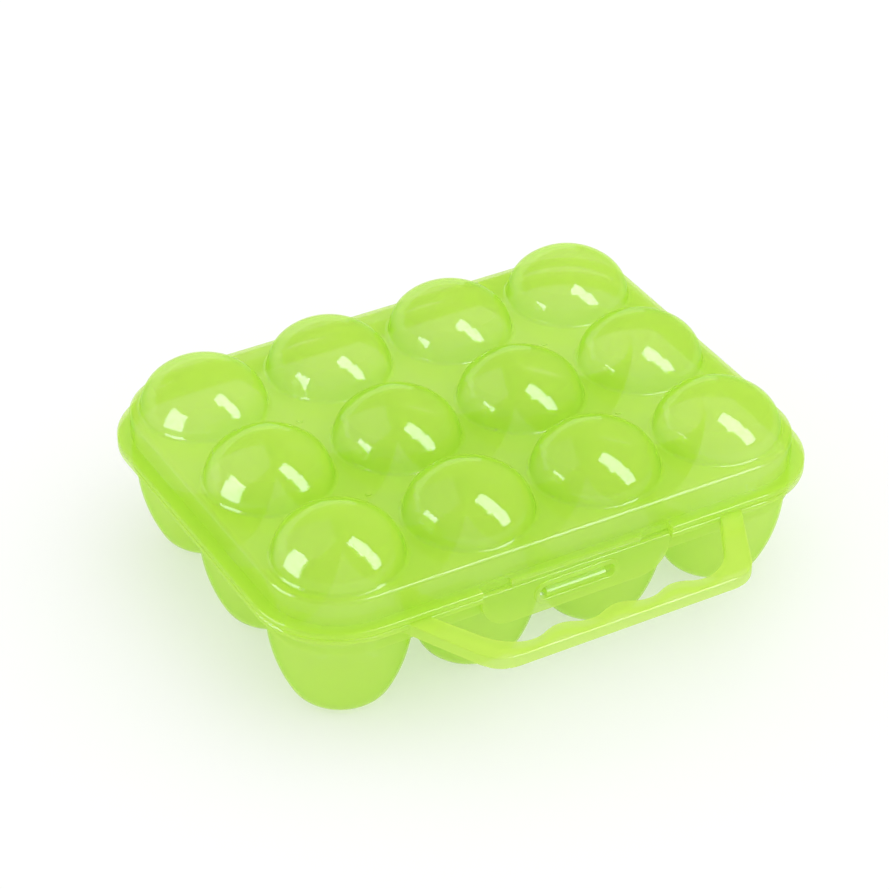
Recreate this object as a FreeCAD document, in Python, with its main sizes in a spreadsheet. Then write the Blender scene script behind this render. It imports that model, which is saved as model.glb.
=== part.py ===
import FreeCAD, Part
import Sketcher
import math
import os

# Egg storage box for twelve eggs, moulded in clear plastic: a base with hanging cups and a carrying
# handle, a lid with domes, and a slotted latch flap on a thin hinge web at the front of the lid.
# Millimetres, +X along the long side, the handle towards -Y, +Z up, the cups' feet on the ground.

V = FreeCAD.Vector

# Driving sizes, one row each: name in the sheet, size, and what it is.
DRIVING = [
    ("columns", 4, "cups along the long side"),
    ("rows", 3, "cups from front to back"),
    ("pitch_across", 48.0, "cup to cup along the long side"),
    ("pitch_deep", 48.5, "cup to cup from front to back"),
    ("mould_wall", 1.2, "wall of both mouldings"),
    ("cup_radius", 24.1, "outside of a cup at the plate"),
    ("cup_depth", 32.2, "underside of the plate to the feet"),
    ("foot_radius", 10.2, "flat foot of a cup"),
    ("cup_heel", 7.8, "rounding between a cup's foot and its side"),
    ("cup_lip", 0.8, "rounding of a cup's rim"),
    ("dome_radius", 21.8, "outside of a dome at the plateau"),
    ("dome_rise", 17.0, "height of a dome over the plateau"),
    ("dome_shoulder", 14.0, "rounding of a dome's shoulder"),
    ("dome_root", 1.4, "rounding where a dome meets the plateau"),
    ("gate_radius", 1.1, "moulding gate mark between four domes"),
    ("gate_height", 0.5, "height of a gate mark"),
    ("side_margin", 1.3, "outer cups' rims to the side walls"),
    ("base_side", 9.5, "underside of the plate to the base's rim"),
    ("lid_side", 11.2, "the lid's rim to its plateau"),
    ("seam_gap", 0.3, "air between the two rims"),
    ("brow_round", 1.3, "rounding of the plateau's outer edge"),
    ("flange_reach", 4.6, "rim flanges past the side walls"),
    ("lid_flange", 2.2, "thickness of the lid's flange"),
    ("base_flange", 2.0, "thickness of the base's flange and the handle's web"),
    ("rim_round", 0.6, "rounding of the flanges' edges"),
    ("handle_reach", 30.5, "flange edge to the handle's front face"),
    ("handle_root", 62.8, "half width of the handle at the flange edge"),
    ("handle_nose", 47.6, "half width of the handle at its front corners"),
    ("handle_corner", 12.0, "rounding of the handle's front corners"),
    ("handle_arm", 8.5, "width of an arm at the flange edge"),
    ("handle_grip", 7.0, "width of the grip at its mean line"),
    ("handle_skirt", 4.4, "height of the handle's rims, the web included"),
    ("handle_rim", 1.4, "wall of the handle's rims"),
    ("handle_soft", 0.5, "rounding of the handle's lower edges"),
    ("gap_nose", 41.3, "half width of the finger gap at the hollows, corners left sharp"),
    ("gap_corner", 20.0, "rounding of the finger gap's corners"),
    ("finger_hollows", 4, "hollows for the fingers"),
    ("finger_pitch", 21.4, "finger hollow to finger hollow"),
    ("finger_rise", 1.4, "depth of a hollow from the mean line"),
    ("flap_half", 35.5, "half width of the latch flap"),
    ("flap_drop", 13.8, "height of the latch flap under its shoulder"),
    ("flap_wall", 1.8, "thickness of the latch flap"),
    ("flap_corner", 11.0, "rounding of the flap's lower corners"),
    ("flap_gap", 0.3, "air between the flap and the flanges"),
    ("flap_set", 1.1, "flap's face behind the flange edge"),
    ("flap_round", 0.4, "rounding of the flap's front edges"),
    ("web_half", 24.2, "half length of the flap's thin hinge web"),
    ("web_round", 0.4, "half thickness of the hinge web"),
    ("web_drop", 0.9, "flap's turning axis over its shoulder"),
    ("tongue_half", 24.5, "half width of the lid's tongue over the web"),
    ("tongue_thick", 1.4, "thickness of the lid's tongue"),
    ("tongue_back", 1.4, "tongue's edge behind the flange edge"),
    ("slot_half", 14.2, "half length of the flap's slot"),
    ("slot_height", 5.0, "height of the flap's slot"),
    ("slot_drop", 6.2, "middle of the slot under the flap's shoulder"),
    ("slot_border", 2.0, "width of the raised border round the slot"),
    ("border_height", 0.5, "height of the raised border"),
    ("border_round", 0.3, "rounding of the border's front edges"),
    ("catch_half", 11.4, "half length of the base's catch"),
    ("catch_height", 4.2, "height of the base's catch at its root"),
    ("catch_nose", 1.4, "height of the catch's front face"),
    ("catch_back", 0.2, "catch's front face behind the flap's face"),
    ("catch_round", 0.4, "rounding of the catch's ends"),
    ("hinge_place", 60.0, "hinge middle from the box's middle"),
    ("pin_radius", 1.4, "hinge pin"),
    ("pin_play", 0.1, "air round the hinge pin"),
    ("knuckle_wall", 1.3, "wall of a knuckle round its pin"),
    ("knuckle_width", 14.0, "length of a knuckle"),
    ("knuckle_mouth", 2.4, "snap-in mouth of a knuckle"),
    ("knuckle_gap", 0.4, "air between a knuckle and what is beside it"),
    ("cheek_width", 3.0, "ear that holds one end of a pin"),
]

# Sizes that follow from the driving ones, worked out by the sheet.
FOLLOWING = [
    ("span_across", "=(columns - 1) * pitch_across"),
    ("span_deep", "=(rows - 1) * pitch_deep"),
    ("side_reach", "=cup_radius + side_margin"),
    ("half_across", "=span_across / 2 + side_reach"),
    ("half_deep", "=span_deep / 2 + side_reach"),
    ("flange_across", "=half_across + flange_reach"),
    ("flange_deep", "=half_deep + flange_reach"),
    ("flange_corner", "=side_reach + flange_reach"),
    ("inside_across", "=half_across - mould_wall"),
    ("inside_deep", "=half_deep - mould_wall"),
    ("inside_corner", "=side_reach - mould_wall"),
    ("base_top", "=cup_depth + base_side"),
    ("base_flange_under", "=base_top - base_flange"),
    ("tub_depth", "=base_side - mould_wall"),
    ("lid_under", "=base_top + seam_gap"),
    ("lid_flange_top", "=lid_under + lid_flange"),
    ("plateau", "=lid_under + lid_side"),
    ("gate_deep", "=pitch_deep / 2"),
    ("lid_hollow", "=lid_side - mould_wall"),
    ("skirt_under", "=base_top - handle_skirt"),
    ("channel_depth", "=handle_skirt - base_flange"),
    ("flap_face", "=flange_deep - flap_set"),
    ("flap_back", "=flap_face - flap_wall"),
    ("notch_deep", "=flap_back - flap_gap"),
    ("notch_half", "=flap_half + flap_gap"),
    ("tongue_under", "=lid_flange_top - tongue_thick"),
    ("web_axis_z", "=tongue_under - flap_gap - web_round"),
    ("web_axis_y", "=flap_face - flap_wall / 2"),
    ("shoulder", "=web_axis_z - web_drop"),
    ("slot_z", "=shoulder - slot_drop"),
    ("border_half", "=slot_half + slot_border"),
    ("border_across", "=slot_height + 2 * slot_border"),
    ("catch_root", "=half_deep - mould_wall / 2"),
    ("catch_front", "=flap_face - catch_back"),
    ("catch_under", "=slot_z - catch_height / 2"),
    ("knuckle_radius", "=pin_radius + pin_play + knuckle_wall"),
    ("hinge_y", "=flange_deep + knuckle_radius + knuckle_gap"),
    ("hinge_z", "=base_top + seam_gap / 2"),
    ("cheek_radius", "=pin_radius + knuckle_wall"),
    ("knuckle_start", "=hinge_place - knuckle_width / 2"),
    ("pin_start", "=knuckle_start - knuckle_gap - cheek_width"),
    ("pin_length", "=knuckle_width + 2 * (knuckle_gap + cheek_width)"),
    ("far_cheek_start", "=knuckle_start + knuckle_width + knuckle_gap"),
    ("front_reach", "=flange_deep + handle_reach"),
    ("back_reach", "=hinge_y + knuckle_radius"),
    ("middle_shift", "=(front_reach - back_reach) / 2"),
]

doc = FreeCAD.newDocument("EggBox")
sheet = doc.addObject("Spreadsheet::Sheet", "Sizes")
for line, (name, size, meaning) in enumerate(DRIVING, 1):
    sheet.set(f"A{line}", meaning)
    sheet.set(f"B{line}", str(size))
    sheet.setAlias(f"B{line}", name)
for line, (name, formula) in enumerate(FOLLOWING, len(DRIVING) + 1):
    sheet.set(f"B{line}", formula)
    sheet.setAlias(f"B{line}", name)
doc.recompute()
size = {name: float(sheet.get(name)) for name, *rest in DRIVING + FOLLOWING}


def bind(thing, **cells):
    """Tie properties of an object to cells of the sheet."""
    for prop, cell in cells.items():
        thing.setExpression(prop.replace("_", "."), "Sizes." + cell)


def origin_part(body, role):
    """A plane or axis of the body's own origin."""
    return next(part for part in body.Origin.OriginFeatures if part.Role == role)


def new_body(label):
    """An empty body, moved so that the whole box lies centred on the origin."""
    body = doc.addObject("PartDesign::Body", label)
    body.Label = label
    bind(body, Placement_Base_y="middle_shift")
    return body


def new_sketch(body, name, role, lift=None, edges=()):
    """A sketch on an origin plane, lifted along its normal by an expression of cells."""
    sketch = body.newObject("Sketcher::SketchObject", name)
    sketch.AttachmentSupport = [(origin_part(body, role), "")]
    sketch.MapMode = "FlatFace"
    if lift:
        sketch.setExpression("AttachmentOffset.Base.z", lift)
    for edge in edges:
        sketch.addGeometry(edge)
    doc.recompute()
    return sketch


def loop(points):
    """Straight edges through the points and back to the first."""
    return [Part.LineSegment(a, b) for a, b in zip(points, points[1:] + points[:1])]


def rounded_rectangle(body, name, lift, half_x, half_y, corner):
    """A rounded rectangle about the origin, its three sizes tied to cells."""
    a, b, r = size[half_x], size[half_y], size[corner]
    sketch = new_sketch(body, name, "XY_Plane", "Sizes." + lift)
    arcs = []
    for x, y, start in ((a - r, r - b, -90), (a - r, b - r, 0), (r - a, b - r, 90), (r - a, r - b, 180)):
        circle = Part.Circle(V(x, y, 0), V(0, 0, 1), r)
        arcs.append(Part.ArcOfCircle(circle, math.radians(start), math.radians(start + 90)))
    sides = [Part.LineSegment(arc.EndPoint, after.StartPoint) for arc, after in zip(arcs, arcs[1:] + arcs[:1])]
    for edge in arcs + sides:
        sketch.addGeometry(edge)
    for k in range(4):
        sketch.addConstraint(Sketcher.Constraint("Tangent", k, 2, 4 + k, 1))
        sketch.addConstraint(Sketcher.Constraint("Tangent", 4 + k, 2, (k + 1) % 4, 1))
        sketch.addConstraint(Sketcher.Constraint(("Vertical", "Horizontal")[k % 2], 4 + k))
    for k in range(3):
        sketch.addConstraint(Sketcher.Constraint("Equal", k, k + 1))
    for rule, cell in (
        (("DistanceX", -1, 1, 4, 1, a), half_x),
        (("DistanceY", -1, 1, 5, 1, b), half_y),
        (("DistanceX", 6, 1, -1, 1, a), half_x),
        (("DistanceY", 7, 1, -1, 1, b), half_y),
        (("Radius", 0, r), corner),
    ):
        number = sketch.addConstraint(Sketcher.Constraint(*rule))
        sketch.setExpression(f"Constraints[{number}]", "Sizes." + cell)
    doc.recompute()
    return sketch


def plain_rectangle(body, name, role, lift, left, right, low, high):
    """An upright rectangle in a sketch, from sizes."""
    corners = [V(left, low, 0), V(right, low, 0), V(right, high, 0), V(left, high, 0)]
    return new_sketch(body, name, role, lift, loop(corners))


def feature(body, kind, name, sketch, cell=None, **settings):
    """A pad, pocket, revolution or groove of a sketch, checked to have changed the solid as it should."""
    before = body.Shape.Volume if body.Tip else 0.0
    made = body.newObject("PartDesign::" + kind, name)
    made.Profile = sketch
    if cell:
        made.setExpression("Length", "Sizes." + cell)
    for prop, value in settings.items():
        setattr(made, prop, value)
    doc.recompute()
    grew = made.Shape.Volume - before
    adds = kind in ("Pad", "Revolution")
    if (grew > 0) != adds or abs(grew) < 1e-3:
        raise RuntimeError(f"{name} changed the volume by {grew:.3f}")
    return made


def rounded(body, name, cell, wanted):
    """A fillet of the edges that wanted picks on the body's present shape."""
    base = body.Tip
    names = [f"Edge{k}" for k, edge in enumerate(base.Shape.Edges, 1) if wanted(edge)]
    if not names:
        raise RuntimeError(f"{name} found no edges")
    fillet = body.newObject("PartDesign::Fillet", name)
    fillet.Base = (base, names)
    bind(fillet, Radius=cell)
    doc.recompute()
    return fillet


def rim_edge(edge, *heights):
    """Whether an edge runs at one of the heights along the flange's outline."""
    box = edge.BoundBox
    x, y = max(abs(box.XMin), abs(box.XMax)), max(abs(box.YMin), abs(box.YMax))
    at_rim = x > size["flange_across"] - 1e-3 or y > size["flange_deep"] - 1e-3
    return at_rim and any(level_edge(edge, height) for height in heights)


def level_edge(edge, level):
    """Whether an edge lies flat at that level."""
    box = edge.BoundBox
    return abs(box.ZMin - level) < 1e-4 and abs(box.ZMax - level) < 1e-4


def over_the_grid(body, name, original):
    """Copies of a revolved feature at every cup's place."""
    grid = body.newObject("PartDesign::MultiTransform", name)
    across = body.newObject("PartDesign::LinearPattern", name + "_across")
    deep = body.newObject("PartDesign::LinearPattern", name + "_deep")
    across.Direction = (origin_part(body, "X_Axis"), [""])
    deep.Direction = (origin_part(body, "Y_Axis"), [""])
    bind(across, Length="span_across", Occurrences="columns")
    bind(deep, Length="span_deep", Occurrences="rows")
    grid.Originals = [original]
    grid.Transformations = [across, deep]
    body.Tip = grid
    doc.recompute()
    return grid


def mirrored(body, name, *originals):
    """Copies of features on the box's other end."""
    copy = body.newObject("PartDesign::Mirrored", name)
    copy.Originals = list(originals)
    copy.MirrorPlane = (origin_part(body, "YZ_Plane"), [""])
    body.Tip = copy
    doc.recompute()
    return copy


def profile_at_first_cup(body, name, edges):
    """A sketch in the upright plane through the first cup's axis, which is its vertical axis."""
    sketch = new_sketch(body, name, "XZ_Plane", "Sizes.span_deep / 2", edges)
    sketch.setExpression("AttachmentOffset.Base.x", "-Sizes.span_across / 2")
    doc.recompute()
    return sketch


def turned(body, kind, name, edges):
    """A revolved feature about the first cup's axis, repeated over the grid."""
    sketch = profile_at_first_cup(body, name + "_profile", edges)
    first = feature(body, kind, name, sketch, ReferenceAxis=(sketch, ["V_Axis"]), Angle=360)
    return over_the_grid(body, name + "s", first)


def arc(middle, radius, start, end):
    """A circular arc in a sketch, by its middle and its two angles in radians, turning left."""
    return Part.ArcOfCircle(Part.Circle(middle, V(0, 0, 1), radius), start, end)


def straight_run(*points):
    """Straight edges through the points."""
    return [Part.LineSegment(a, b) for a, b in zip(points, points[1:])]


def long_radius(along, across, short):
    """Radius of the long arc of a quarter oval, from its half axes and its short arc's radius.
    The long arc crosses the axis that across lies on at a right angle."""
    return (along ** 2 + across ** 2 - 2 * along * short) / (2 * (across - short))


def cup_outside():
    """Half section of a cup: flat foot, rounded heel, and a bowed side up to the plate's underside."""
    foot, top, heel = size["foot_radius"], size["cup_depth"], size["cup_heel"]
    side = long_radius(top, size["cup_radius"] - foot, heel)
    side_middle = V(size["cup_radius"] - side, top, 0)
    heel_middle = V(foot, heel, 0)
    joint = math.atan2(heel_middle.y - side_middle.y, heel_middle.x - side_middle.x)
    into_plate = top + size["mould_wall"] / 2
    radius = size["cup_radius"]
    outline = straight_run(V(radius, top, 0), V(radius, into_plate, 0), V(0, into_plate, 0), V(0, 0, 0), V(foot, 0, 0))
    return outline + [arc(heel_middle, heel, -math.pi / 2, joint), arc(side_middle, side, joint, 0)]


def cup_inside():
    """Half section of a cup's hollow, one wall inside the cup, with a rounded rim at the plate."""
    foot, top, heel, wall = size["foot_radius"], size["cup_depth"], size["cup_heel"], size["mould_wall"]
    side = long_radius(top, size["cup_radius"] - foot, heel)
    side_middle = V(size["cup_radius"] - side, top, 0)
    heel_middle = V(foot, heel, 0)
    joint = math.atan2(heel_middle.y - side_middle.y, heel_middle.x - side_middle.x)
    radius, lip = size["cup_radius"] - wall, size["cup_lip"]
    plate_top = top + wall
    rim = arc(V(radius + lip, plate_top - lip, 0), lip, math.pi / 2, math.pi)
    outline = straight_run(rim.StartPoint, V(0, plate_top, 0), V(0, wall, 0), V(foot, wall, 0))
    outline += straight_run(V(radius, top, 0), rim.EndPoint)
    return outline + [rim, arc(heel_middle, heel - wall, -math.pi / 2, joint), arc(side_middle, side - wall, joint, 0)]


def dome_arcs():
    """Middles and radii of a dome's shoulder and crown over the plateau, and the angle where they join."""
    shoulder = size["dome_shoulder"]
    crown = long_radius(size["dome_radius"], size["dome_rise"], shoulder)
    level = size["plateau"]
    shoulder_middle = V(size["dome_radius"] - shoulder, level, 0)
    crown_middle = V(0, level + size["dome_rise"] - crown, 0)
    joint = math.atan2(shoulder_middle.y - crown_middle.y, shoulder_middle.x - crown_middle.x)
    return shoulder_middle, shoulder, crown_middle, crown, joint


def dome_outside():
    """Half section of a dome, which flares into the plateau with a small radius."""
    shoulder_middle, shoulder, crown_middle, crown, joint = dome_arcs()
    root, level = size["dome_root"], size["plateau"]
    lean = math.asin(root / (shoulder + root))
    root_middle = shoulder_middle + V(math.cos(lean), math.sin(lean), 0) * (shoulder + root)
    flare = arc(root_middle, root, math.pi + lean, 1.5 * math.pi)
    into_plateau = level - size["mould_wall"] / 2
    apex = crown_middle + V(0, crown, 0)
    outline = straight_run(flare.EndPoint, V(root_middle.x, into_plateau, 0), V(0, into_plateau, 0), apex)
    return outline + [flare, arc(shoulder_middle, shoulder, lean, joint), arc(crown_middle, crown, joint, math.pi / 2)]


def dome_inside():
    """Half section of a dome's hollow, one wall inside the dome, down through the plateau."""
    shoulder_middle, shoulder, crown_middle, crown, joint = dome_arcs()
    wall, level = size["mould_wall"], size["plateau"]
    apex = crown_middle + V(0, crown - wall, 0)
    radius = size["dome_radius"] - wall
    outline = straight_run(apex, V(0, level - wall, 0), V(radius, level - wall, 0), V(radius, level, 0))
    shoulder_arc = arc(shoulder_middle, shoulder - wall, 0, joint)
    return outline + [shoulder_arc, arc(crown_middle, crown - wall, joint, math.pi / 2)]


def meet(point, way, other, other_way):
    """Where two straight lines cross."""
    across = way.x * other_way.y - way.y * other_way.x
    apart = other - point
    return point + way * ((apart.x * other_way.y - apart.y * other_way.x) / across)


def corner_arc(before, corner, after, radius):
    """The arc that rounds a corner between two points, no longer than the shorter of its sides."""
    room = min((corner - before).Length, (after - corner).Length)
    inward, outward = (corner - before).normalize(), (after - corner).normalize()
    turn = inward.getAngle(outward)
    radius = min(radius, room / math.tan(turn / 2))
    reach = radius * math.tan(turn / 2)
    start, end = corner - inward * reach, corner + outward * reach
    to_middle = (outward - inward).normalize()
    middle = corner + to_middle * (radius / math.cos(turn / 2))
    return Part.Arc(start, middle - to_middle * radius, end)


def chained(curves):
    """The curves with straight edges between them where there is a space."""
    edges = [curves[0]]
    for curve in curves[1:]:
        if (curve.StartPoint - edges[-1].EndPoint).Length > 1e-6:
            edges.append(Part.LineSegment(edges[-1].EndPoint, curve.StartPoint))
        edges.append(curve)
    return edges


def handle_outline(inset, back):
    """The handle's band from one root round to the other: outer side, then the finger side.
    The band is narrowed by inset on every side and ends at y = -back."""
    edge, front = -size["flange_deep"], -size["front_reach"] + inset
    slope = V(size["handle_root"] - size["handle_nose"], size["handle_reach"], 0).normalize()
    across = V(slope.y, -slope.x, 0)
    root = V(size["handle_root"], edge, 0) - across * inset
    far = V(1, 0, 0)
    outer_top = meet(root, slope, V(0, -back, 0), far)
    outer_nose = meet(root, slope, V(0, front, 0), far)

    def flip(point):
        return V(-point.x, point.y, 0)

    radius = size["handle_corner"] - inset
    right = corner_arc(outer_top, outer_nose, flip(outer_nose), radius)
    left = corner_arc(outer_nose, flip(outer_nose), flip(outer_top), radius)
    outer = chained([Part.LineSegment(outer_top, right.StartPoint), right, left,
                     Part.LineSegment(left.EndPoint, flip(outer_top))])

    # finger side, from left to right: hollows and crests are equal arcs that run into each other
    half = size["finger_pitch"] / 2
    rise = size["finger_rise"]
    mean = -size["front_reach"] + size["handle_grip"]
    steep = 2 * math.atan2(2 * rise, half)
    arcs = []
    hollows = int(size["finger_hollows"])
    for k in range(-hollows, hollows - 1):
        # a hollow bulges towards the front, a crest towards the box
        hollow = 1 if (k + hollows) % 2 == 0 else -1
        start, end = (k + 0.5) * half, (k + 1.5) * half
        lean = hollow * steep
        start_out = V(-math.sin(lean), -math.cos(lean), 0)
        end_out = V(math.sin(lean), -math.cos(lean), 0)
        middle = V((start + end) / 2, mean - hollow * rise - inset, 0)
        arcs.append(Part.Arc(V(start, mean, 0) + start_out * inset, middle, V(end, mean, 0) + end_out * inset))
    last = arcs[-1].EndPoint
    leaving = V(math.cos(steep), math.sin(steep), 0)
    inner_root = V(size["handle_root"] - size["handle_arm"], edge, 0)
    # the finger side of an arm leans a little more than its outer side
    arm = (inner_root - V(size["gap_nose"], mean, 0)).normalize()
    inner_root = inner_root + V(arm.y, -arm.x, 0) * inset
    bend = meet(last, leaving, inner_root, arm)
    inner_top = meet(inner_root, arm, V(0, -back, 0), far)
    turn = corner_arc(last, bend, inner_top, size["gap_corner"] + inset)
    right_side = chained([turn, Part.LineSegment(turn.EndPoint, inner_top)])
    left_side = []
    for curve in reversed(right_side):
        if isinstance(curve, Part.LineSegment):
            left_side.append(Part.LineSegment(flip(curve.EndPoint), flip(curve.StartPoint)))
        else:
            angle = (curve.FirstParameter + curve.LastParameter) / 2
            left_side.append(Part.Arc(flip(curve.EndPoint), flip(curve.value(angle)), flip(curve.StartPoint)))
    inner = chained(left_side + arcs + right_side)
    ends = [Part.LineSegment(flip(outer_top), flip(inner_top)), Part.LineSegment(inner_top, outer_top)]
    return outer + ends[:1] + inner + ends[1:]


def obround(half, height, level):
    """A slot's outline: half its length, its height and the level of its middle."""
    r = height / 2
    right = Part.ArcOfCircle(Part.Circle(V(half - r, level, 0), V(0, 0, 1), r), -math.pi / 2, math.pi / 2)
    left = Part.ArcOfCircle(Part.Circle(V(r - half, level, 0), V(0, 0, 1), r), math.pi / 2, 1.5 * math.pi)
    return [right, Part.LineSegment(right.EndPoint, left.StartPoint), left,
            Part.LineSegment(left.EndPoint, right.StartPoint)]


def circle_at_hinge(radius):
    return Part.Circle(V(size["hinge_y"], size["hinge_z"], 0), V(0, 0, 1), radius)


def arm_to_hinge(radius, low, high, start):
    """Outline in the upright plane of an eye about the hinge axis with an arm to the flange."""
    y, z = size["hinge_y"], size["hinge_z"]
    low_angle = math.pi + math.asin((z - low) / radius)
    high_angle = math.pi - math.asin((high - z) / radius)
    eye = Part.ArcOfCircle(circle_at_hinge(radius), low_angle, high_angle + 2 * math.pi)
    return [eye] + [Part.LineSegment(a, b) for a, b in (
        (eye.EndPoint, V(start, high, 0)), (V(start, high, 0), V(start, low, 0)), (V(start, low, 0), eye.StartPoint))]


def make_base():
    body = new_body("base")
    outline = rounded_rectangle(body, "tub_outline", "cup_depth", "half_across", "half_deep", "side_reach")
    feature(body, "Pad", "tub", outline, "base_side")
    rim = rounded_rectangle(body, "base_rim_outline", "base_flange_under", "flange_across", "flange_deep",
                            "flange_corner")
    feature(body, "Pad", "base_rim", rim, "base_flange")
    band = new_sketch(body, "handle_band", "XY_Plane", "Sizes.skirt_under",
                      handle_outline(0.0, size["half_deep"] - size["mould_wall"] / 2))
    feature(body, "Pad", "handle", band, "handle_skirt")
    rounded(body, "base_upper_round", "rim_round", lambda edge: level_edge(edge, size["base_top"]))
    rounded(body, "base_lower_round", "rim_round", lambda edge: rim_edge(edge, size["base_flange_under"]))
    rounded(body, "handle_lower_round", "handle_soft",
            lambda edge: level_edge(edge, size["skirt_under"]) and edge.BoundBox.YMin < -size["flange_deep"])
    channel = new_sketch(body, "handle_channel", "XY_Plane", "Sizes.base_flange_under",
                         handle_outline(size["handle_rim"], size["half_deep"] + size["handle_rim"]))
    feature(body, "Pocket", "handle_hollow", channel, "channel_depth")
    notch = plain_rectangle(body, "base_notch_outline", "XY_Plane", "Sizes.base_top",
                            -size["notch_half"], size["notch_half"], -size["flange_deep"] - 1, -size["notch_deep"])
    feature(body, "Pocket", "base_notch", notch, "base_flange")
    turned(body, "Revolution", "cup", cup_outside())
    hollow = rounded_rectangle(body, "tub_hollow_outline", "base_top", "inside_across", "inside_deep", "inside_corner")
    feature(body, "Pocket", "tub_hollow", hollow, "tub_depth")
    turned(body, "Groove", "cup_hollow", cup_inside())
    catch = new_sketch(body, "catch_section", "YZ_Plane", "-Sizes.catch_half", catch_section())
    catch = feature(body, "Pad", "catch", catch)
    catch.setExpression("Length", "2 * Sizes.catch_half")
    doc.recompute()
    rounded(body, "catch_ends", "catch_round", catch_end)
    pin = new_sketch(body, "pin_outline", "YZ_Plane", "Sizes.pin_start", [circle_at_hinge(size["pin_radius"])])
    pin = feature(body, "Pad", "pin", pin, "pin_length")
    ears = []
    for name, start in (("near_ear", "pin_start"), ("far_ear", "far_cheek_start")):
        eye = new_sketch(body, name + "_outline", "YZ_Plane", "Sizes." + start,
                         arm_to_hinge(size["cheek_radius"], size["base_flange_under"], size["base_top"],
                                      size["half_deep"]))
        ears.append(feature(body, "Pad", name, eye, "cheek_width"))
    mirrored(body, "other_hinge", pin, *ears)
    return body


def make_lid():
    body = new_body("lid")
    outline = rounded_rectangle(body, "cover_outline", "lid_under", "half_across", "half_deep", "side_reach")
    feature(body, "Pad", "cover", outline, "lid_side")
    rounded(body, "brow", "brow_round", lambda edge: edge.BoundBox.ZMin > size["plateau"] - 1e-4)
    rim = rounded_rectangle(body, "lid_rim_outline", "lid_under", "flange_across", "flange_deep", "flange_corner")
    feature(body, "Pad", "lid_rim", rim, "lid_flange")
    rounded(body, "lid_rim_round", "rim_round",
            lambda edge: rim_edge(edge, size["lid_under"], size["lid_flange_top"]))
    notch = plain_rectangle(body, "lid_notch_outline", "XY_Plane", "Sizes.lid_flange_top",
                            -size["notch_half"], size["notch_half"], -size["flange_deep"] - 1, -size["notch_deep"])
    feature(body, "Pocket", "lid_notch", notch, "lid_flange")
    tongue = plain_rectangle(body, "tongue_outline", "XY_Plane", "Sizes.tongue_under",
                             -size["tongue_half"], size["tongue_half"],
                             size["tongue_back"] - size["flange_deep"], -size["half_deep"])
    feature(body, "Pad", "tongue", tongue, "tongue_thick")
    marks = [Part.Circle(V(x * size["pitch_across"], y * size["gate_deep"], 0), V(0, 0, 1), size["gate_radius"])
             for x in (-1, 1) for y in (-1, 1)]
    marks = new_sketch(body, "gate_outlines", "XY_Plane", "Sizes.plateau", marks)
    feature(body, "Pad", "gate_marks", marks, "gate_height")
    turned(body, "Revolution", "dome", dome_outside())
    hollow = rounded_rectangle(body, "cover_hollow_outline", "lid_under", "inside_across", "inside_deep", "inside_corner")
    feature(body, "Pocket", "cover_hollow", hollow, "lid_hollow", Reversed=True)
    turned(body, "Groove", "dome_hollow", dome_inside())
    eye = new_sketch(body, "knuckle_outline", "YZ_Plane", "Sizes.knuckle_start",
                     arm_to_hinge(size["knuckle_radius"], size["lid_under"], size["lid_flange_top"],
                                  size["half_deep"]))
    knuckle = feature(body, "Pad", "knuckle", eye, "knuckle_width")
    bore = new_sketch(body, "bore_outline", "YZ_Plane", "Sizes.knuckle_start",
                      [circle_at_hinge(size["pin_radius"] + size["pin_play"])])
    bore = feature(body, "Pocket", "bore", bore, "knuckle_width", Reversed=True)
    half_mouth = size["knuckle_mouth"] / 2
    mouth = plain_rectangle(body, "mouth_outline", "YZ_Plane", "Sizes.knuckle_start", size["hinge_y"] - half_mouth,
                            size["hinge_y"] + half_mouth, size["hinge_z"] - size["knuckle_radius"] - 1, size["hinge_z"])
    mouth = feature(body, "Pocket", "mouth", mouth, "knuckle_width", Reversed=True)
    mirrored(body, "other_knuckle", knuckle, bore, mouth)
    return body


def flap_outline():
    """Front outline of the flap: straight top, rounded lower corners."""
    half, top, r = size["flap_half"], size["shoulder"], size["flap_corner"]
    low = top - size["flap_drop"]
    right = Part.ArcOfCircle(Part.Circle(V(half - r, low + r, 0), V(0, 0, 1), r), -math.pi / 2, 0)
    left = Part.ArcOfCircle(Part.Circle(V(r - half, low + r, 0), V(0, 0, 1), r), math.pi, 1.5 * math.pi)
    points = [right.EndPoint, V(half, top, 0), V(-half, top, 0), left.StartPoint]
    return [right, left, Part.LineSegment(left.EndPoint, right.StartPoint)] + [
        Part.LineSegment(a, b) for a, b in zip(points, points[1:])]


def at_face(edge, reach):
    """Whether an edge lies in the upright plane that far in front."""
    return edge.BoundBox.YMax < -reach + 1e-4


def catch_section():
    """Upright section of the catch: a low front face, and a ramp that the flap's border slides down."""
    root, front, low = -size["catch_root"], -size["catch_front"], size["catch_under"]
    return loop([V(root, low, 0), V(front, low, 0), V(front, low + size["catch_nose"], 0),
                 V(root, low + size["catch_height"], 0)])


def catch_end(edge):
    """Whether an edge is one of the catch's end edges in front of the side wall."""
    box = edge.BoundBox
    at_end = abs(abs(box.XMin) - size["catch_half"]) < 1e-4 and box.XLength < 1e-4
    return at_end and box.ZMin > size["catch_under"] - 1e-4 and box.YMin < -size["half_deep"] - 1e-3


def web_outline():
    """Upright section of the hinge web: a thin neck with a round top about the turning axis."""
    y, z, r = -size["web_axis_y"], size["web_axis_z"], size["web_round"]
    top = Part.ArcOfCircle(Part.Circle(V(y, z, 0), V(0, 0, 1), r), 0, math.pi)
    low = size["shoulder"] - r
    points = [top.EndPoint, V(y - r, low, 0), V(y + r, low, 0), top.StartPoint]
    return [top] + [Part.LineSegment(a, b) for a, b in zip(points, points[1:])]


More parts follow.
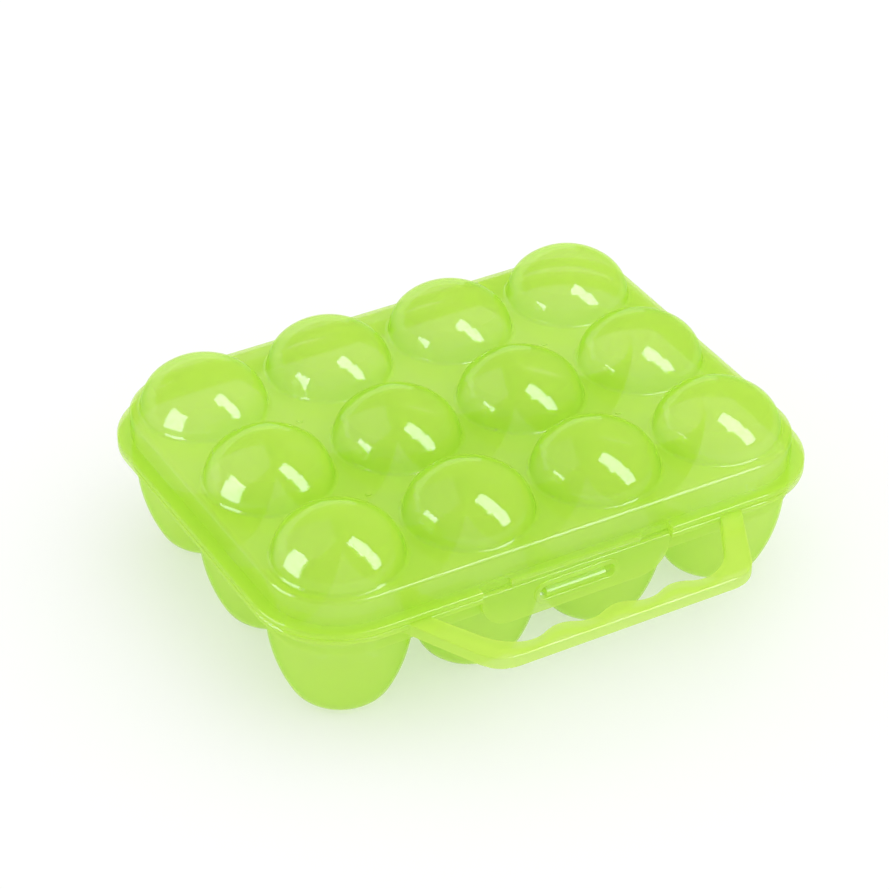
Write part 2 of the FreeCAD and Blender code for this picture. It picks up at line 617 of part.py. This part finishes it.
def make_flap():
    body = new_body("latch_flap")
    plate = new_sketch(body, "flap_outline", "XZ_Plane", "Sizes.flap_back", flap_outline())
    feature(body, "Pad", "plate", plate, "flap_wall")
    rounded(body, "plate_round", "flap_round", lambda edge: at_face(edge, size["flap_face"]))
    border = new_sketch(body, "border_outline", "XZ_Plane", "Sizes.flap_face",
                        obround(size["border_half"], size["border_across"], size["slot_z"]))
    feature(body, "Pad", "border", border, "border_height")
    web = new_sketch(body, "web_section", "YZ_Plane", "-Sizes.web_half", web_outline())
    web = feature(body, "Pad", "hinge_web", web)
    web.setExpression("Length", "2 * Sizes.web_half")
    doc.recompute()
    slot = new_sketch(body, "slot_outline", "XZ_Plane", "Sizes.flap_face + Sizes.border_height",
                      obround(size["slot_half"], size["slot_height"], size["slot_z"]))
    slot = feature(body, "Pocket", "slot", slot)
    slot.setExpression("Length", "Sizes.flap_wall + Sizes.border_height")
    doc.recompute()
    rounded(body, "border_edges", "border_round",
            lambda edge: at_face(edge, size["flap_face"] + size["border_height"]))
    return body


parts = [make_base(), make_lid(), make_flap()]
doc.recompute()

for thing in doc.Objects:
    if {"Invalid", "Error"} & set(thing.State):
        raise RuntimeError(f"{thing.Name} failed: {thing.State}")
os.makedirs("parts", exist_ok=True)
for body in parts:
    shape = body.Shape
    if shape.isNull() or not shape.isValid() or len(shape.Solids) != 1:
        raise RuntimeError(f"{body.Label} isn't one sound solid")
    shape.exportStep(f"parts/{body.Label}.step")
    box = shape.BoundBox
    print(f"{body.Label}: {shape.Volume / 1000:.1f} cm3, x {box.XMin:.2f} {box.XMax:.2f},",
          f"y {box.YMin:.2f} {box.YMax:.2f}, z {box.ZMin:.2f} {box.ZMax:.2f}")
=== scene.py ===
import bpy
from mathutils import Matrix, Vector

# Egg storage box of translucent lime-green plastic on a white studio floor.
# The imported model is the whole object; this script gives it its plastic, its light and its camera.

# Camera: where it stands, which way its back points, its focal length and its sensor in mm.
EYE = Vector((-0.46032, -0.79218, 0.68835))
EYE_BACK = Vector((-0.40354, -0.71403, 0.57212))
FOCAL_MM = 134.73
SENSOR_MM = 36.0

# Plastic: what it sends back, what it lets seep through, what goes straight through, and its depth.
FACE_COLOR = (0.75, 0.945, 0.16, 1)
MILK_COLOR = (0.81, 0.96, 0.21, 1)
CLEAR_COLOR = (0.985, 0.995, 1.0, 1)
DEPTH_COLOR = (0.75, 0.95, 0.0, 1)
DEPTH_DENSITY = 140.0
MILK_SHARE = 0.45
CLEAR_SHARE = 0.57
# the handle's web and the front edges are thicker and let less light straight through; the lower
# share there is also painted shade, standing in for the shadowed floor beneath the front of the box
THICK_SHADED_CLEAR_SHARE = 0.44
THICK_SHADED_FROM_Y, THIN_UNSHADED_FROM_Y = -0.0670, -0.0630
# roughness of the glossy face, from its smoothest to its dullest places
SMOOTH, DULL = 0.025, 0.075

# Studio: the floor's own light, and the strengths of the room.
FLOOR_REACH = 6.0
FLOOR_DROP = 0.0002
FLOOR_WHITE = (0.57, 0.57, 0.57, 1)
FLOOR_GLOW = 0.40
ROOM_SIDES, ROOM_TOP, ROOM_IN_GLOSS = 0.865, 1.46, 0.45
ROOM_TOP_WAY = Vector((0.6, -0.3, 1.6)).normalized()
COOL = (0.80, 0.84, 1.0)
WHITE = (1, 1, 1)

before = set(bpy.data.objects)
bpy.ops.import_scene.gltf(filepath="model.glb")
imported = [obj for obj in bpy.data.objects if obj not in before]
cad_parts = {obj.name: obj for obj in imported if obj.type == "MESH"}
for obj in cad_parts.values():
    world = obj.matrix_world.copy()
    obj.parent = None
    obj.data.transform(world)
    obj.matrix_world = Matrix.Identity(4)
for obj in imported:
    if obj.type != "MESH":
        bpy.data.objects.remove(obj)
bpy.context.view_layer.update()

scene = bpy.context.scene
scene.view_settings.view_transform = "Standard"
# a line of sight crosses many thin walls, but light that was scattered often adds little
scene.cycles.transparent_max_bounces = 20
scene.cycles.max_bounces = 7


def look(back):
    """Turning of an object whose local -Z looks away from back, with the horizon level."""
    back = back.normalized()
    right = Vector((0, 0, 1)).cross(back).normalized()
    up = back.cross(right)
    return Matrix((right, up, back)).transposed().to_4x4()


def add_node(tree, kind, **sockets):
    """A new node with values on its input sockets, whose names have _ for each space."""
    node = tree.nodes.new(kind)
    for name, value in sockets.items():
        node.inputs[name.replace("_", " ")].default_value = value
    return node


def new_material(name):
    """A new material with an empty node tree and its output node."""
    material = bpy.data.materials.new(name)
    material.use_nodes = True
    tree = material.node_tree
    tree.nodes.clear()
    return material, tree, tree.nodes.new("ShaderNodeOutputMaterial")


def set_camera():
    """The camera of the photograph."""
    data = bpy.data.cameras.new("camera")
    data.lens = FOCAL_MM
    data.sensor_width = SENSOR_MM
    camera = bpy.data.objects.new("camera", data)
    camera.matrix_world = Matrix.Translation(EYE) @ look(EYE_BACK)
    scene.collection.objects.link(camera)
    scene.camera = camera


def plastic():
    """Milky tinted plastic with a glossy face: part of the light is scattered, part goes through."""
    material, tree, output = new_material("green_plastic")
    link = tree.links.new
    place = add_node(tree, "ShaderNodeTexCoord")

    face = add_node(tree, "ShaderNodeBsdfPrincipled", Base_Color=FACE_COLOR, IOR=1.6,
                    Specular_IOR_Level=1.0)
    cloud = add_node(tree, "ShaderNodeTexNoise", Scale=55.0, Detail=1.0)
    sheen = add_node(tree, "ShaderNodeMapRange", From_Min=0.30, From_Max=0.70, To_Min=SMOOTH,
                     To_Max=DULL)
    link(place.outputs["Object"], cloud.inputs["Vector"])
    link(cloud.outputs["Fac"], sheen.inputs["Value"])
    link(sheen.outputs["Result"], face.inputs["Roughness"])

    milk = add_node(tree, "ShaderNodeBsdfTranslucent", Color=MILK_COLOR)
    scattered = add_node(tree, "ShaderNodeMixShader", Fac=MILK_SHARE)
    link(face.outputs["BSDF"], scattered.inputs[1])
    link(milk.outputs["BSDF"], scattered.inputs[2])

    # painted shade: towards the front of the box (low Y) less light goes straight through, partly
    # for thicker plastic, partly for the shadowed floor below
    split = add_node(tree, "ShaderNodeSeparateXYZ")
    clear_share_with_painted_shade = add_node(tree, "ShaderNodeMapRange", From_Min=THICK_SHADED_FROM_Y, From_Max=THIN_UNSHADED_FROM_Y,
                           To_Min=THICK_SHADED_CLEAR_SHARE, To_Max=CLEAR_SHARE)
    link(place.outputs["Object"], split.inputs["Vector"])
    link(split.outputs["Y"], clear_share_with_painted_shade.inputs["Value"])

    through = add_node(tree, "ShaderNodeBsdfTransparent", Color=CLEAR_COLOR)
    wall = add_node(tree, "ShaderNodeMixShader")
    link(clear_share_with_painted_shade.outputs["Result"], wall.inputs["Fac"])
    link(scattered.outputs["Shader"], wall.inputs[1])
    link(through.outputs["BSDF"], wall.inputs[2])
    link(wall.outputs["Shader"], output.inputs["Surface"])

    depth = add_node(tree, "ShaderNodeVolumeAbsorption", Color=DEPTH_COLOR, Density=DEPTH_DENSITY)
    link(depth.outputs["Volume"], output.inputs["Volume"])
    return material


def set_floor():
    """A wide white floor under the box, lit from below as well, so the shadow stays soft."""
    material, tree, output = new_material("floor_white")
    paint = add_node(tree, "ShaderNodeBsdfDiffuse", Color=FLOOR_WHITE)
    glow = add_node(tree, "ShaderNodeEmission", Strength=FLOOR_GLOW)
    both = add_node(tree, "ShaderNodeAddShader")
    tree.links.new(paint.outputs["BSDF"], both.inputs[0])
    tree.links.new(glow.outputs["Emission"], both.inputs[1])
    tree.links.new(both.outputs["Shader"], output.inputs["Surface"])

    corners = [(-FLOOR_REACH, -FLOOR_REACH, 0), (FLOOR_REACH, -FLOOR_REACH, 0),
               (FLOOR_REACH, FLOOR_REACH, 0), (-FLOOR_REACH, FLOOR_REACH, 0)]
    mesh = bpy.data.meshes.new("floor")
    mesh.from_pydata(corners, [], [(0, 1, 2, 3)])
    mesh.materials.append(material)
    plane = bpy.data.objects.new("floor", mesh)
    plane.location.z = -FLOOR_DROP
    scene.collection.objects.link(plane)


def gloss_light(name, place, aim, wide, high, strength, color):
    """A rectangular lamp at a place, facing a point, which only shows in the gloss."""
    light = bpy.data.lights.new(name, "AREA")
    light.shape = "RECTANGLE"
    light.size = wide
    light.size_y = high
    light.energy = strength
    light.color = color
    lamp = bpy.data.objects.new(name, light)
    place, aim = Vector(place), Vector(aim)
    lamp.matrix_world = Matrix.Translation(place) @ look(place - aim)
    lamp.visible_camera = False
    lamp.visible_diffuse = False
    lamp.visible_transmission = False
    scene.collection.objects.link(lamp)


def set_room():
    """A white room, brightest above at the right, but dimmer where it mirrors in the gloss."""
    world = bpy.data.worlds.new("studio")
    world.use_nodes = True
    tree = world.node_tree
    link = tree.links.new
    background = tree.nodes["Background"]
    background.inputs["Color"].default_value = (*WHITE, 1)

    way = add_node(tree, "ShaderNodeTexCoord")
    facing = add_node(tree, "ShaderNodeVectorMath")
    facing.operation = "DOT_PRODUCT"
    facing.inputs[1].default_value = ROOM_TOP_WAY
    above = add_node(tree, "ShaderNodeMapRange", From_Min=0.60, From_Max=0.90, To_Min=ROOM_SIDES,
                     To_Max=ROOM_TOP)
    rays = add_node(tree, "ShaderNodeLightPath")
    dimming = add_node(tree, "ShaderNodeMapRange", To_Max=ROOM_IN_GLOSS)
    link(way.outputs["Generated"], facing.inputs[0])
    link(facing.outputs["Value"], above.inputs["Value"])
    link(above.outputs["Result"], dimming.inputs["To Min"])
    link(rays.outputs["Is Glossy Ray"], dimming.inputs["Value"])
    link(dimming.outputs["Result"], background.inputs["Strength"])
    # so even a light is met by chance often enough, which is quicker than looking for it
    world.cycles.sampling_method = "NONE"
    scene.world = world


set_camera()
green = plastic()
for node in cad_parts.values():
    for slot in node.material_slots:
        slot.material = green
set_floor()
# a window-like box on the left and a tall strip at the right, both seen in every dome
gloss_light("left_window", (-0.240, 0.015, 0.100), (-0.09, 0.0, 0.075), 0.110, 0.155, 0.62, COOL)
gloss_light("right_strip", (0.188, -0.289, 0.390), (0.0, 0.013, 0.06), 0.160, 0.66, 4.0, COOL)
# a pale wall behind the box, seen as a haze along the tops of the domes
gloss_light("back_panel", (-0.2, 1.1, 0.22), (0, 0, 0.05), 2.4, 0.45, 4.2, WHITE)
set_room()
